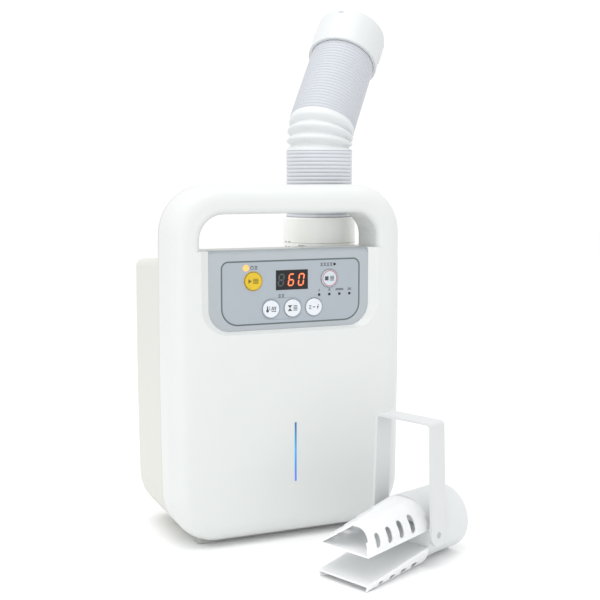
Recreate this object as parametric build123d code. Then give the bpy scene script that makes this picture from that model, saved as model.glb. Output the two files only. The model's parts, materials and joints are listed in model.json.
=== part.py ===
from build123d import *
from math import cos, radians, sin, tan
import os

os.makedirs("parts", exist_ok=True)

# A bedding, shoe and boot dryer: a slab with a carrying handle, a blower case behind it, a
# stay-put bellows hose, and a loose boot nozzle that lies beside it. Millimetres throughout.
# The dryer is drawn with X across, Y from its front face to its back and Z up from the
# floor. At the end everything is shifted so that the origin is under the set's middle.

# ---- case ----
WALL = 2.6
FOOT_H = 5.0
BODY_W = 248.0
BODY_H = 350.0
SIDE_BOW = 2.0
CORNER_R = 48.0
SPLIT_Y = 41.0
SLAB_D = 48.0
FRONT_R = 18.0
REAR_Y = 134.0
REAR_TOP = 284.0
REAR_TOP_BACK = 277.5
REAR_EDGE_R = 8.0
BODY_TOP = FOOT_H + BODY_H

# ---- handle opening and panel recess ----
OPEN_HALF = 93.8
OPEN_TOP = 327.0
SILL_Z = 292.0
OPEN_R = 25.0
LIP_R = 7.0
RECESS_LOW = 211.0
RECESS_R = 27.0
PANEL_HALF = 85.0
PANEL_LOW = 213.7
PANEL_R = 22.0
PANEL_Y = 5.5
BEZEL_BACK = 14.8
BEZEL_T = 2.4
SILL_R = 8.0

# ---- control panel ----
OVERLAY_X = (-71.0, 74.0)
OVERLAY_Z = (220.4, 280.4)
OVERLAY_TOP_R = 6.0
OVERLAY_LOW_R = 16.0
OVERLAY_T = 0.8
OUTLINE_GAP = 1.6
DISPLAY_AT = (1.4, 262.0)
DISPLAY_SIZE = (34.0, 19.4)
BUTTON_R = 8.6
BUTTON_GAP = 0.3
BUTTON_FRONT = 4.3
BUTTONS = {
    "start_button": (-39.4, 262.0),
    "stop_button": (41.8, 262.0),
    "temperature_button": (-21.0, 234.0),
    "time_button": (2.0, 234.0),
    "mode_button": (24.8, 234.0),
}
LED_R = 1.3
LEDS = [(47.5, 276.0)] + [(30.8 + 11.1 * i, 246.0) for i in range(4)]
LAMP_R = 3.2
LAMP_AT = (-46.8, 275.0)
PCB_Y = 17.5
PCB_T = 1.6
SWITCH_TRAVEL = 0.8
PCB_SCREWS = [(-62, 229), (65, 229), (-62, 274), (65, 270)]

# ---- lit slit ----
SLIT_AT = (3.0, 90.0)
SLIT_SIZE = (2.2, 60.0)

# ---- hose ----
HOSE_X = 69.0
HOSE_Y = 91.0
HOSE_R = 35.3
HOSE_BORE = 31.5
PLEAT = 3.9
PLEAT_DEPTH = 1.6
COLLAR_R = 38.6
COLLAR_LOW = 268.0
COLLAR_SEAM = 293.2
COLLAR_TOP = 320.0
STACK_TOP = 390.0
BEND = 38.8
LEAN_WAY = 42.5
BEND_HALF = 19.0
UPPER_LEN = 84.5
CAP_LEN = 45.0
CAP_R = 38.2
CAP_BORE = 31.9
POPPED = 4

# ---- blower ----
FAN_X = 11.0
FAN_Z = 105.0
FAN_R = 56.0
SCROLL_R = 66.0
SCROLL_GROWTH = 25.0
DUCT_HALF = 33.0
SCROLL_Y = (63.5, 118.5)
DUCT_TOP = 190.0
HEATER_TOP = 236.0
SHAFT_R = 3.0
RUN_GAP = 0.05
BLADES = 28
TONGUE = 67.7

# ---- fixings ----
CASE_POSTS = [(x, z) for x in (-110.0, 110.0) for z in (60.0, 236.0)]
HANDLE_POSTS = [(-109.0, 306.0), (109.0, 306.0)]
SCREW_R = 1.75
SCREW_HEAD_R = 3.5
BOARD_Y = 35.0
BOARD_POSTS = [(x, z) for x in (-80.0, 80.0) for z in (52.0, 190.0)]

# ---- back: filter and cord gland ----
FILTER_X = (-57.0, 77.0)
FILTER_Z = (40.0, 170.0)
GLAND_AT = (-88.0, 42.0)

# ---- boot nozzle ----
NOZZLE_AT = (-6.0, -129.0)
NOZZLE_TURN = 22.0
NOZZLE_R = 32.0
NOZZLE_WALL = 2.2
JAW_LEN = 85.0
NOZZLE_LEN = 145.0
PIVOT_X = 92.0
SPIGOT_X = 104.0
SPIGOT_R = 31.5
BAIL_TOP = 138.5
BAIL_T = 2.5
BAIL_HALF_LOW = 37.0
BAIL_HALF_TOP = 33.0
BAIL_SIDE = 10.5
PIN_R = 3.0

# Each jaw's section at its tip and at its root: width, flat side's height, round side's
# height, and corner radius. Three points lie on the plane that slopes the upper jaw.
UPPER_TIP = (60.0, 31.5, 56.0, 17.0)
UPPER_ROOT = (60.0, 37.0, 62.5, 25.0)
LOWER_TIP = (60.0, 6.5, 0.0, 4.4)
LOWER_ROOT = (60.0, 20.4, 0.0, 19.5)
SLOPE_LOW = (0.0, 30.0, 32.5)
SLOPE_HIGH = (0.0, -9.0, 57.0)
SLOPE_BACK = (72.0, 22.1, 53.5)
SLOT_X = [14.5 + 16.2 * i for i in range(4)]

nodes = {}


# ---- small helpers ----
def upright(outline, y0, y1):
    """A flat outline drawn in X and Z, made solid from y0 back to y1."""
    return extrude(Pos(0, y0, 0) * (Plane.XZ * outline), amount=y1 - y0, dir=(0, 1, 0))


def block(x0, x1, y0, y1, z0, z1):
    """A box between two corners."""
    return Pos(x0, y0, z0) * Box(x1 - x0, y1 - y0, z1 - z0, align=(Align.MIN,) * 3)


def post(x, z, radius, y0, y1):
    """A round post along Y."""
    return upright(Pos(x, z) * Circle(radius), y0, y1)


def tube(radius, bore, z0, z1):
    """A round tube along Z about the hose's axis."""
    ring = Circle(radius) - Circle(bore)
    return Pos(HOSE_X, HOSE_Y, z0) * extrude(ring, amount=z1 - z0)


def framed(x0, x1, z0, z1, top_r, low_r):
    """A rectangle in X and Z with one radius at its top corners and one at its bottom."""
    flat = Pos((x0 + x1) / 2, (z0 + z1) / 2) * Rectangle(x1 - x0, z1 - z0)
    for radius, at in ((low_r, z0), (top_r, z1)):
        if radius:
            corners = [v for v in flat.vertices() if abs(v.Y - at) < 0.01]
            flat = fillet(corners, radius)
    return flat


# ---- case shells ----
def slab_outline(inset):
    """The slab seen from the front, its sides bowed out a little."""
    half = BODY_W / 2 - SIDE_BOW - inset
    low, high = FOOT_H + inset, BODY_TOP - inset
    middle = (low + high) / 2
    sides = [
        Line((-half, high), (half, high)),
        ThreePointArc((half, high), (half + SIDE_BOW, middle), (half, low)),
        Line((half, low), (-half, low)),
        ThreePointArc((-half, low), (-half - SIDE_BOW, middle), (-half, high)),
    ]
    outline = make_face(sides)
    return fillet(outline.vertices(), CORNER_R - inset)


def opening(inset, y0, y1):
    """The hand hole through the slab, square at its sill."""
    half = OPEN_HALF + inset
    return upright(framed(-half, half, SILL_Z - inset, OPEN_TOP + inset, OPEN_R + inset, 0), y0, y1)


def recess(inset, through):
    """The sunk field for the control panel, with a sloping border round it."""
    half = OPEN_HALF + inset
    top = SILL_Z + 1
    front = framed(-half, half, RECESS_LOW - inset, top, 0, RECESS_R + inset)
    half = PANEL_HALF + inset
    back = framed(-half, half, PANEL_LOW - inset, top, 0, PANEL_R + inset)
    slope = loft([
        Pos(0, inset, 0) * (Plane.XZ * front),
        Pos(0, PANEL_Y + inset, 0) * (Plane.XZ * back),
    ], ruled=True)
    return slope + upright(back, PANEL_Y + inset, through)


def front_block(inset):
    """The front half of the slab, solid, with its hand hole and panel field cut out."""
    body = upright(slab_outline(inset), inset, SPLIT_Y)
    front = body.edges().group_by(Axis.Y)[0]
    body = fillet(front, FRONT_R - 2 * inset)
    body -= opening(inset, -1, SPLIT_Y + 1)
    lip = [e for e in body.edges().group_by(Axis.Y)[0]
           if abs(e.center().X) < OPEN_HALF + inset + 1 and e.center().Z > SILL_Z - inset + 1]
    body = fillet(lip, LIP_R - inset)
    return body - recess(inset, BEZEL_BACK + (0 if inset else 3))


def make_front_shell():
    shell = front_solid - front_block(WALL)
    shell -= upright(Pos(*SLIT_AT) * Rectangle(*SLIT_SIZE), -1, WALL + 1)
    for x, z in CASE_POSTS + HANDLE_POSTS:
        reach = post(x, z, 5, WALL + 6, SPLIT_Y)
        foot = post(x, z, 5, WALL + 0.5, WALL + 7)
        shell += reach + (foot & front_solid)
        shell -= post(x, z, SCREW_R - 0.15, SPLIT_Y - 22, SPLIT_Y + 1)
    return shell


def rear_block(inset, y0):
    """The blower case, solid: flush with the slab's sides, its top falling to the back."""
    body = upright(slab_outline(inset), y0, REAR_Y - inset)
    slope = (REAR_TOP - REAR_TOP_BACK) / (REAR_Y - SLAB_D)
    high = REAR_TOP - inset
    near = high + slope * (SLAB_D - y0 + 10)
    far = high - slope * (REAR_Y - SLAB_D + 10)
    above = Plane.YZ * Polygon(
        (y0 - 10, near), (y0 - 10, 500), (REAR_Y + 10, 500), (REAR_Y + 10, far), align=None)
    body -= extrude(above, amount=BODY_W, both=True)
    top = body.faces().sort_by(Axis.Z)[-1]
    ends = [e for e in top.edges() if e.center().Y > y0 + 1 and abs(e.center().X) > 50]
    return fillet(ends + body.edges().group_by(Axis.Y)[-1], REAR_EDGE_R - inset)


def handle_back(inset, y0):
    """The rear half of the slab and its handle, solid."""
    body = upright(slab_outline(inset), y0, SLAB_D - inset)
    body -= opening(inset, y0 - 1, SLAB_D + 1)
    if inset:
        return body
    return fillet(body.edges().group_by(Axis.Y)[-1], 4)


front_solid = front_block(0)
rear_solid = rear_block(0, SPLIT_Y)


def make_rear_shell():
    shell = handle_back(0, SPLIT_Y) + rear_solid
    shell -= handle_back(WALL, SPLIT_Y - 1)
    shell -= rear_block(WALL, SPLIT_Y - 1)
    inside = rear_block(WALL / 2, SPLIT_Y)
    for x, z in CASE_POSTS:
        shell += post(x, z, 6, SPLIT_Y, REAR_Y) & inside
        shell -= post(x, z, SCREW_HEAD_R + 0.6, SPLIT_Y + 5, REAR_Y + 1)
        shell -= post(x, z, SCREW_R + 0.3, SPLIT_Y - 1, SPLIT_Y + 6)
    for x, z in HANDLE_POSTS:
        shell += post(x, z, 6, SPLIT_Y, SLAB_D - 0.4)
        shell -= post(x, z, SCREW_HEAD_R + 0.6, SLAB_D - 3, SLAB_D + 1)
        shell -= post(x, z, SCREW_R + 0.3, SPLIT_Y - 1, SLAB_D)
    shell -= tube(COLLAR_R + 0.1, 0.01, COLLAR_LOW, COLLAR_TOP)
    shell -= Pos(HOSE_X, HOSE_Y, COLLAR_LOW) * Cylinder(5, 60, align=(Align.CENTER,) * 2 + (Align.MIN,))
    window = framed(FILTER_X[0] + 4, FILTER_X[1] - 4, FILTER_Z[0] + 4, FILTER_Z[1] - 4, 6, 6)
    shell -= upright(window, REAR_Y - 8, REAR_Y + 1)
    shell -= post(*GLAND_AT, 7.1, REAR_Y - 8, REAR_Y + 1)
    return shell


def make_foot_strips():
    """Two soft strips across the underside, front and back."""
    strips = Part()
    for y, below in ((22.0, front_solid), (104.0, rear_solid)):
        strip = block(-93, 93, y, y + 14, 0, 14)
        strip = fillet(strip.edges().filter_by(Axis.Z), 4)
        strip = chamfer(strip.edges().group_by(Axis.Z)[0], 0.8)
        strips += strip - below
    return strips


def make_case_screws():
    screws = []
    for x, z in CASE_POSTS:
        screws.append((x, z, SPLIT_Y + 5.0))
    for x, z in HANDLE_POSTS:
        screws.append((x, z, SLAB_D - 3.0))
    return Compound(children=[screw(x, z, y, 20.0, 2.4) for x, z, y in screws])


def screw(x, z, seat, length, head):
    """A cross-head screw driven forwards, its head behind the seat."""
    body = post(x, z, SCREW_R - 0.2, seat - length, seat) + post(x, z, SCREW_HEAD_R, seat, seat + head)
    cross = Rectangle(4.2, 0.9) + Rectangle(0.9, 4.2)
    return body - upright(Pos(x, z) * cross, seat + head - 1.2, seat + head + 1)


# ---- control panel ----
def overlay_outline(grow):
    return framed(OVERLAY_X[0] - grow, OVERLAY_X[1] + grow, OVERLAY_Z[0] - grow, OVERLAY_Z[1] + grow,
                  OVERLAY_TOP_R + grow, OVERLAY_LOW_R + grow)


def panel_holes(y0, y1, grow):
    """Holes for the buttons, the display and the lamps."""
    width, height = DISPLAY_SIZE
    holes = upright(Pos(*DISPLAY_AT) * Rectangle(width + 2 * grow, height + 2 * grow), y0, y1)
    for x, z in BUTTONS.values():
        holes += post(x, z, BUTTON_R + BUTTON_GAP, y0, y1)
    for x, z in LEDS:
        holes += post(x, z, LED_R + grow, y0, y1)
    return holes + post(*LAMP_AT, LAMP_R + grow, y0, y1)


def make_panel_bezel():
    """The grey tray: front plate, rolled sill and a rim all round."""
    gap = 0.15

    def tray(inset, y0, y1):
        half = PANEL_HALF - gap - inset
        flat = framed(-half, half, PANEL_LOW + gap + inset, SILL_Z - inset, 0, PANEL_R - gap - inset)
        solid = upright(flat, y0, y1)
        sill = [e for e in solid.edges().group_by(Axis.Y)[0] if e.center().Z > SILL_Z - inset - 0.1]
        return fillet(sill, SILL_R - inset)

    bezel = tray(0, PANEL_Y, BEZEL_BACK) - tray(BEZEL_T, PANEL_Y + BEZEL_T, BEZEL_BACK + 1)
    for x, z in PCB_SCREWS:
        bezel += post(x, z, 3.2, PANEL_Y + BEZEL_T, PCB_Y)
        bezel -= post(x, z, 1.0, PANEL_Y + BEZEL_T + 1, PCB_Y + 1)
    bezel -= upright(overlay_outline(OUTLINE_GAP), PANEL_Y - 1, PANEL_Y + OVERLAY_T)
    return bezel - panel_holes(PANEL_Y - 1, PANEL_Y + BEZEL_T + 0.1, 0.1)


def make_overlay():
    sheet = upright(overlay_outline(0), PANEL_Y, PANEL_Y + OVERLAY_T)
    return sheet - panel_holes(PANEL_Y - 1, PANEL_Y + 2, 0.1)


def make_button(x, z):
    """A cap with a dished face, a flange that stops it and a stem behind."""
    cap = post(x, z, BUTTON_R, BUTTON_FRONT, PANEL_Y + BEZEL_T + 1)
    cap = fillet(cap.edges().group_by(Axis.Y)[0], 0.7)
    dish = Pos(x, BUTTON_FRONT - 59.6, z) * Sphere(60)
    flange = post(x, z, BUTTON_R + 1.2, PANEL_Y + BEZEL_T + 0.2, PANEL_Y + BEZEL_T + 1.4)
    stem = post(x, z, 2.0, PANEL_Y + BEZEL_T + 1, PCB_Y - 4.3 - SWITCH_TRAVEL - 0.1)
    return cap - dish + flange + stem


def make_tact_switches():
    """Five push switches on the board, one behind each button."""
    group = []
    for x, z in BUTTONS.values():
        body = block(x - 3, x + 3, PCB_Y - 3.5, PCB_Y, z - 3, z + 3)
        group.append(body + post(x, z, 1.75, PCB_Y - 4.3, PCB_Y - 3.4))
    return Compound(children=group)


def make_indicator_leds():
    return Compound(children=[
        post(x, z, LED_R, PANEL_Y - 0.2, PANEL_Y + BEZEL_T + 2) for x, z in LEDS])


def make_control_pcb():
    board = block(-69, 72, PCB_Y, PCB_Y + PCB_T, 222, 280)
    for x, z in PCB_SCREWS:
        board -= post(x, z, 1.4, PCB_Y - 1, PCB_Y + PCB_T + 1)
    return board


def make_pcb_screws():
    group = []
    for x, z in PCB_SCREWS:
        seat = PCB_Y + PCB_T
        group.append(post(x, z, 0.9, seat - 8, seat) + post(x, z, 2.6, seat, seat + 1.6))
    return Compound(children=group)


def make_display_window():
    width, height = DISPLAY_SIZE
    pane = upright(Pos(*DISPLAY_AT) * Rectangle(width, height), PANEL_Y - 0.2, PANEL_Y + BEZEL_T)
    return chamfer(pane.edges().group_by(Axis.Y)[0], 0.3)


def make_display_module():
    """The three-digit block behind the window, on the board's front."""
    x, z = DISPLAY_AT
    body = block(x - 17.5, x + 17.5, PANEL_Y + BEZEL_T + 0.1, PCB_Y, z - 10, z + 10)
    for digit in (-1, 0, 1):
        middle = x + digit * 10.6
        for bar in (-6.2, 0, 6.2):
            body -= block(middle - 2.8, middle + 2.8, 0, PANEL_Y + BEZEL_T + 0.7, z + bar - 0.6, z + bar + 0.6)
        for side in (-3.6, 3.6):
            for level in (-3.1, 3.1):
                body -= block(middle + side - 0.6, middle + side + 0.6, 0, PANEL_Y + BEZEL_T + 0.7,
                              z + level - 2.2, z + level + 2.2)
    return body


def make_light_guide():
    """A clear bar in the front's slit, with a flange behind the wall."""
    bar = upright(Pos(*SLIT_AT) * Rectangle(SLIT_SIZE[0] - 0.1, SLIT_SIZE[1] - 0.1), 0.1, 7)
    flange = upright(Pos(*SLIT_AT) * Rectangle(SLIT_SIZE[0] + 6, SLIT_SIZE[1] + 6), WALL, 7)
    return bar + flange


def make_light_pcb():
    x, z = SLIT_AT
    board = block(x - 6, x + 6, 8.2, 9.8, z - 35, z + 35)
    for i in range(6):
        at = z + 10 * (i - 2.5)
        board += block(x - 1.4, x + 1.4, 7.0, 8.2, at - 1.4, at + 1.4)
    return board


# ---- electrics in the slab ----
def make_partition_plate():
    """The wall between the electrics and the blower, with posts for the power board."""
    plate = upright(slab_outline(WALL + 0.1), SPLIT_Y + 2.5, SPLIT_Y + 5)
    plate &= block(-200, 200, 0, 200, 0, REAR_TOP - WALL - 3)
    for x, z in CASE_POSTS:
        plate -= post(x, z, 6.8, SPLIT_Y, SPLIT_Y + 8)
    for x, z in BOARD_POSTS:
        plate += post(x, z, 4, BOARD_Y + PCB_T, SPLIT_Y + 2.6)
    return plate - upright(Pos(-95, 150) * SlotOverall(30, 12), SPLIT_Y, SPLIT_Y + 8)


def make_power_pcb():
    board = block(-88, 88, BOARD_Y, BOARD_Y + PCB_T, 44, 198)
    return board


def make_power_parts():
    """Transformer, relay, capacitors, heat sink and terminal block on the power board."""
    group = [
        block(-76, -40, BOARD_Y - 20, BOARD_Y, 60, 92),
        block(-28, -9, BOARD_Y - 16, BOARD_Y, 62, 90),
        block(20, 76, BOARD_Y - 12, BOARD_Y, 56, 66),
        post(-62, 120, 8, BOARD_Y - 19, BOARD_Y),
        post(-40, 120, 8, BOARD_Y - 19, BOARD_Y),
    ]
    sink = block(20, 70, BOARD_Y - 18, BOARD_Y, 110, 150)
    for i in range(6):
        sink -= block(24 + 7.6 * i, 28 + 7.6 * i, BOARD_Y - 19, BOARD_Y - 4, 109, 151)
    return Compound(children=group + [sink])


# ---- blower and heater ----
def on_scroll(turn, out):
    """A point of the spiral round the fan, moved out by a little."""
    radius = SCROLL_R + out + SCROLL_GROWTH * (turn - TONGUE) / (360 - TONGUE)
    return FAN_X + radius * cos(radians(turn)), FAN_Z + radius * sin(radians(turn))


BLOWER_SCREWS = [on_scroll(turn, 3) for turn in (125, 205, 290)]


def scroll_outline(inset):
    """A spiral that opens round the fan into a straight duct up to the heater."""
    left, right = HOSE_X - DUCT_HALF + inset, HOSE_X + DUCT_HALF - inset
    spiral = [on_scroll(TONGUE + (360 - TONGUE) * i / 16, -inset) for i in range(17)]
    edges = [
        Spline(*spiral),
        Line(spiral[-1], (right, DUCT_TOP)),
        Line((right, DUCT_TOP), (left, DUCT_TOP)),
        Line((left, DUCT_TOP), spiral[0]),
    ]
    return make_face(edges)


def make_blower_case():
    case = upright(scroll_outline(0), *SCROLL_Y)
    case -= upright(scroll_outline(2), SCROLL_Y[0] + 2, SCROLL_Y[1] + 1)
    case -= block(HOSE_X - DUCT_HALF + 2, HOSE_X + DUCT_HALF - 2, SCROLL_Y[0] + 2, SCROLL_Y[1] + 1,
                  DUCT_TOP - 5, DUCT_TOP + 5)
    case -= post(FAN_X, FAN_Z, 33, SCROLL_Y[0] - 1, SCROLL_Y[0] + 3)
    for x, z in BLOWER_SCREWS:
        case += post(x, z, 4.5, SCROLL_Y[0], SCROLL_Y[1]) - upright(scroll_outline(1), 0, 200)
        case -= post(x, z, SCREW_R - 0.15, SCROLL_Y[1] - 16, SCROLL_Y[1] + 1)
    return case


def make_blower_cover():
    """The scroll's back plate, with a rounded inlet."""
    plate = upright(scroll_outline(0), SCROLL_Y[1], SCROLL_Y[1] + 2)
    for x, z in BLOWER_SCREWS:
        plate += post(x, z, 4.5, SCROLL_Y[1], SCROLL_Y[1] + 2)
        plate -= post(x, z, SCREW_R + 0.2, SCROLL_Y[1] - 1, SCROLL_Y[1] + 3)
    plate += post(FAN_X, FAN_Z, 47, SCROLL_Y[1], SCROLL_Y[1] + 5)
    plate -= post(FAN_X, FAN_Z, 43, SCROLL_Y[1] - 1, SCROLL_Y[1] + 6)
    rim = [e for e in plate.edges().group_by(Axis.Y)[-1] if e.length < 300]
    return fillet(rim, 1.5)


def make_blower_screws():
    return Compound(children=[screw(x, z, SCROLL_Y[1] + 2, 14.0, 2.4) for x, z in BLOWER_SCREWS])


def make_impeller():
    """A squirrel-cage wheel: back plate, hub, forward-curved blades and an end ring."""
    wheel = post(FAN_X, FAN_Z, FAN_R, 71, 73)
    wheel += post(FAN_X, FAN_Z, 9, 73, 95)
    blade = Pos(FAN_R - 5.5, 0) * (Rot(0, 0, 35) * Rectangle(12, 1.2))
    for i in range(BLADES):
        turned = Pos(FAN_X, FAN_Z) * (Rot(0, 0, i * 360 / BLADES) * blade)
        wheel += upright(turned, 72.9, 112.1)
    wheel += upright(Pos(FAN_X, FAN_Z) * (Circle(FAN_R + 1) - Circle(FAN_R - 10)), 112, 114.5)
    return wheel - post(FAN_X, FAN_Z, SHAFT_R + RUN_GAP, 70, 96)


def make_fan_motor():
    can = post(FAN_X, FAN_Z, 29, 50, 66) + post(FAN_X, FAN_Z, 36, SCROLL_Y[0] - 1.5, SCROLL_Y[0])
    can += post(FAN_X, FAN_Z, 32.6, SCROLL_Y[0] - 0.1, SCROLL_Y[0] + 2)
    can += post(FAN_X, FAN_Z, 8, 66, 69.5)
    for turn in (45, 135, 225, 315):
        x, z = FAN_X + 24 * cos(radians(turn)), FAN_Z + 24 * sin(radians(turn))
        can += post(x, z, 4, SPLIT_Y + 5, 51)
    return can + post(FAN_X, FAN_Z, SHAFT_R, 69, 98)


def make_heater_case():
    x0, x1 = HOSE_X - DUCT_HALF, HOSE_X + DUCT_HALF
    case = block(x0, x1, *SCROLL_Y, DUCT_TOP, HEATER_TOP)
    case -= block(x0 + 2, x1 - 2, SCROLL_Y[0] + 2, SCROLL_Y[1] - 2, DUCT_TOP - 1, HEATER_TOP + 1)
    return case


def make_ptc_heater():
    """A ceramic heater block with upright air slots, across the duct."""
    x0, y0 = HOSE_X - DUCT_HALF + 2, SCROLL_Y[0] + 2
    x1, y1 = HOSE_X + DUCT_HALF - 2, SCROLL_Y[1] - 2
    heater = block(x0, x1, y0, y1, 205, 223)
    for i in range(11):
        at = x0 + 3.2 + 5.2 * i
        for y in (y0 + 3, y0 + 27):
            heater -= block(at, at + 3.6, y, y + 21, 200, 230)
    return heater


def make_thermal_fuse():
    x = HOSE_X - DUCT_HALF
    body = Pos(x - 4, 91, 214) * Cylinder(3, 18)
    return body + block(x - 4, x, 86, 96, 209, 219)


def make_outlet_duct():
    """From the heater's oblong mouth to the hose's round collar."""
    def shape(side, radius):
        low = Pos(HOSE_X, HOSE_Y, HEATER_TOP) * RectangleRounded(2 * DUCT_HALF - side, 55 - side, 4)
        high = Pos(HOSE_X, HOSE_Y, COLLAR_LOW - 4) * RectangleRounded(2 * radius, 2 * radius, radius - 0.2)
        return loft([low, high])

    duct = shape(0, 35) - shape(4, 33)
    return duct + tube(COLLAR_R, 33, COLLAR_LOW - 4, COLLAR_LOW)


# ---- back: filter and cord gland ----
def make_filter_cover():
    """A louvred cover that pulls straight off the back."""
    cover = upright(framed(*FILTER_X, *FILTER_Z, 8, 8), REAR_Y + 0.1, REAR_Y + 3.1)
    cover = fillet(cover.edges().group_by(Axis.Y)[-1], 1.4)
    for i in range(12):
        z = FILTER_Z[0] + 15 + 9.1 * i
        for x in (-21.5, 41.5):
            cover -= upright(Pos(x, z) * SlotOverall(56, 4.4), REAR_Y - 1, REAR_Y + 4)
    rim = framed(FILTER_X[0] + 4.3, FILTER_X[1] - 4.3, FILTER_Z[0] + 4.3, FILTER_Z[1] - 4.3, 5.7, 5.7)
    hollow = framed(FILTER_X[0] + 6, FILTER_X[1] - 6, FILTER_Z[0] + 6, FILTER_Z[1] - 6, 4, 4)
    cover += upright(rim - hollow, REAR_Y - 6, REAR_Y + 0.2)
    notch = upright(Pos(FAN_X, FILTER_Z[1] - 1) * SlotOverall(26, 7), REAR_Y + 1.6, REAR_Y + 4)
    return cover - notch


def make_air_filter():
    """A fine mesh in a thin frame, behind the louvres."""
    x0, x1, z0, z1 = FILTER_X[0] + 6.2, FILTER_X[1] - 6.2, FILTER_Z[0] + 6.2, FILTER_Z[1] - 6.2
    mesh = upright(framed(x0, x1, z0, z1, 3.5, 3.5), REAR_Y - 4, REAR_Y - 1)
    step = 7.4
    for i in range(16):
        for j in range(15):
            x, z = x0 + 5.4 + step * i, z0 + 5.2 + step * j
            mesh -= block(x, x + step - 1.2, REAR_Y - 5, REAR_Y, z, z + step - 1.2)
    return mesh


def make_cord_gland():
    gland = post(*GLAND_AT, 7, REAR_Y - 6, REAR_Y + 0.1) + post(*GLAND_AT, 10, REAR_Y, REAR_Y + 4)
    gland += post(*GLAND_AT, 8.4, REAR_Y - 6, REAR_Y - WALL)
    gland = fillet(gland.edges().group_by(Axis.Y)[-1], 1.5)
    return gland - post(*GLAND_AT, 3.8, REAR_Y - 8, REAR_Y + 6)


# ---- hose ----
lean = Vector(cos(radians(LEAN_WAY)), sin(radians(LEAN_WAY)), 0)
bend_axis = Vector(-sin(radians(LEAN_WAY)), cos(radians(LEAN_WAY)), 0)
upper_way = Vector(0, 0, cos(radians(BEND))) + lean * sin(radians(BEND))
bend_point = Vector(HOSE_X, HOSE_Y, STACK_TOP + BEND_HALF)
upper_start = bend_point + upper_way * BEND_HALF
upper_plane = Plane(origin=upper_start, x_dir=bend_axis, z_dir=upper_way)
cap_start = UPPER_LEN - 2.0


def pleated(length):
    """Closed pleats from the origin up, with a plain bore."""
    count = round(length / PLEAT)
    pitch = length / count
    points = [(HOSE_BORE, 0), (HOSE_R - PLEAT_DEPTH, 0)]
    for i in range(count):
        points.append((HOSE_R, pitch * (i + 0.5)))
        points.append((HOSE_R - PLEAT_DEPTH, pitch * (i + 1)))
    points.append((HOSE_BORE, length))
    profile = Plane.XZ * make_face(Polyline(*points, close=True))
    return revolve(profile, Axis.Z)


def make_hose_bend():
    """Four popped-open pleats round the bend, wide outside and shut inside."""
    radius = BEND_HALF / tan(radians(BEND / 2))
    centre = Vector(HOSE_X, HOSE_Y, STACK_TOP) + lean * radius

    def section(share, size):
        turn = radians(BEND * share)
        outwards = lean * -cos(turn) + Vector(0, 0, sin(turn))
        along = lean * sin(turn) + Vector(0, 0, cos(turn))
        return Plane(origin=centre + outwards * radius, x_dir=bend_axis, z_dir=along) * Circle(size)

    steps = 2 * POPPED
    outer = [section(i / steps, HOSE_R - (4.0 if i % 2 else PLEAT_DEPTH * (i in (0, steps))))
             for i in range(steps + 1)]
    inner = [section(i / steps, HOSE_BORE - 2.0) for i in range(steps + 1)]
    return loft(outer, ruled=True) - loft(inner, ruled=True)


def make_collar_base():
    """The fixed ring that the hose's collar turns on."""
    ring = tube(COLLAR_R, 34, COLLAR_LOW, COLLAR_SEAM)
    return ring - block(HOSE_X - 33, HOSE_X - 27, HOSE_Y - 40, HOSE_Y - 10, COLLAR_SEAM - 3.2, COLLAR_SEAM - 2.2)


def make_collar_ring():
    ring = tube(COLLAR_R, HOSE_R + 0.2, COLLAR_SEAM + 0.3, COLLAR_TOP)
    top = ring.edges().filter_by(GeomType.CIRCLE).sort_by(Axis.Z)[-2:].sort_by(SortBy.RADIUS)[-1]
    return fillet(top, 1.2)


def make_hose_cap():
    """The white end piece: it grips the hose and takes the nozzle in its mouth."""
    cap = extrude(Circle(CAP_R), amount=CAP_LEN)
    cap = fillet(cap.edges().group_by(Axis.Z)[-1], 3.5)
    cap -= extrude(Circle(HOSE_R + 0.2), amount=12.2)
    cap -= extrude(Circle(CAP_BORE), amount=CAP_LEN + 1)
    return cap


# ---- boot nozzle, drawn with its tip at X = 0 and its collar along +X ----
def jaw_section(x, width, flat, round_z, radius):
    """A D shape across the nozzle: flat towards the gap, round on the outside."""
    shape = Pos(0, (flat + round_z) / 2) * Rectangle(width, abs(flat - round_z))
    corners = [v for v in shape.vertices() if abs(v.Y - round_z) < 0.01]
    radius = min(radius, abs(flat - round_z) - 0.3)
    return Pos(x, 0, 0) * (Plane.YZ * fillet(corners, radius))


def jaw_solid(tip, root, inset):
    """A jaw from its tip section to its root section, solid, its walls moved in by inset."""
    ends = []
    for x, (width, flat, round_z, radius) in ((0, tip), (JAW_LEN, root)):
        way = 1 if round_z > flat else -1
        ends.append(jaw_section(x, width - 2 * inset, flat + way * inset, round_z - way * inset, radius - inset))
    return loft(ends, ruled=True)


def cut_slots(body, middle, height):
    """Oval air slots through both sides, growing towards the collar."""
    for i, x in enumerate(SLOT_X):
        tall = height * (1 + 0.08 * i)
        oval = Pos(x, middle + 1.0 * i) * SlotOverall(tall, 7.0, rotation=90)
        body -= upright(oval, -40, -20) + upright(oval, 20, 40)
    return body


def beyond_slope(inset):
    """Everything past the plane that slopes the upper jaw's far side down to its tip."""
    low, high, back = Vector(*SLOPE_LOW), Vector(*SLOPE_HIGH), Vector(*SLOPE_BACK)
    outwards = (high - low).cross(back - low).normalized()
    face = Plane(origin=low - outwards * inset, z_dir=outwards)
    return face * Box(300, 300, 100, align=(Align.CENTER, Align.CENTER, Align.MIN))


def make_upper_jaw():
    wall = NOZZLE_WALL - 0.4
    inside = jaw_solid(UPPER_TIP, UPPER_ROOT, wall) - beyond_slope(wall)
    shell = jaw_solid(UPPER_TIP, UPPER_ROOT, 0) - beyond_slope(0) - inside
    rake = Plane.XZ * Polygon((-20, 45), (-20, 80), (14, 80), (2.5, 45), align=None)
    shell -= extrude(rake, amount=60, both=True)
    return cut_slots(shell, 44.0, 13.0)


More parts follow.
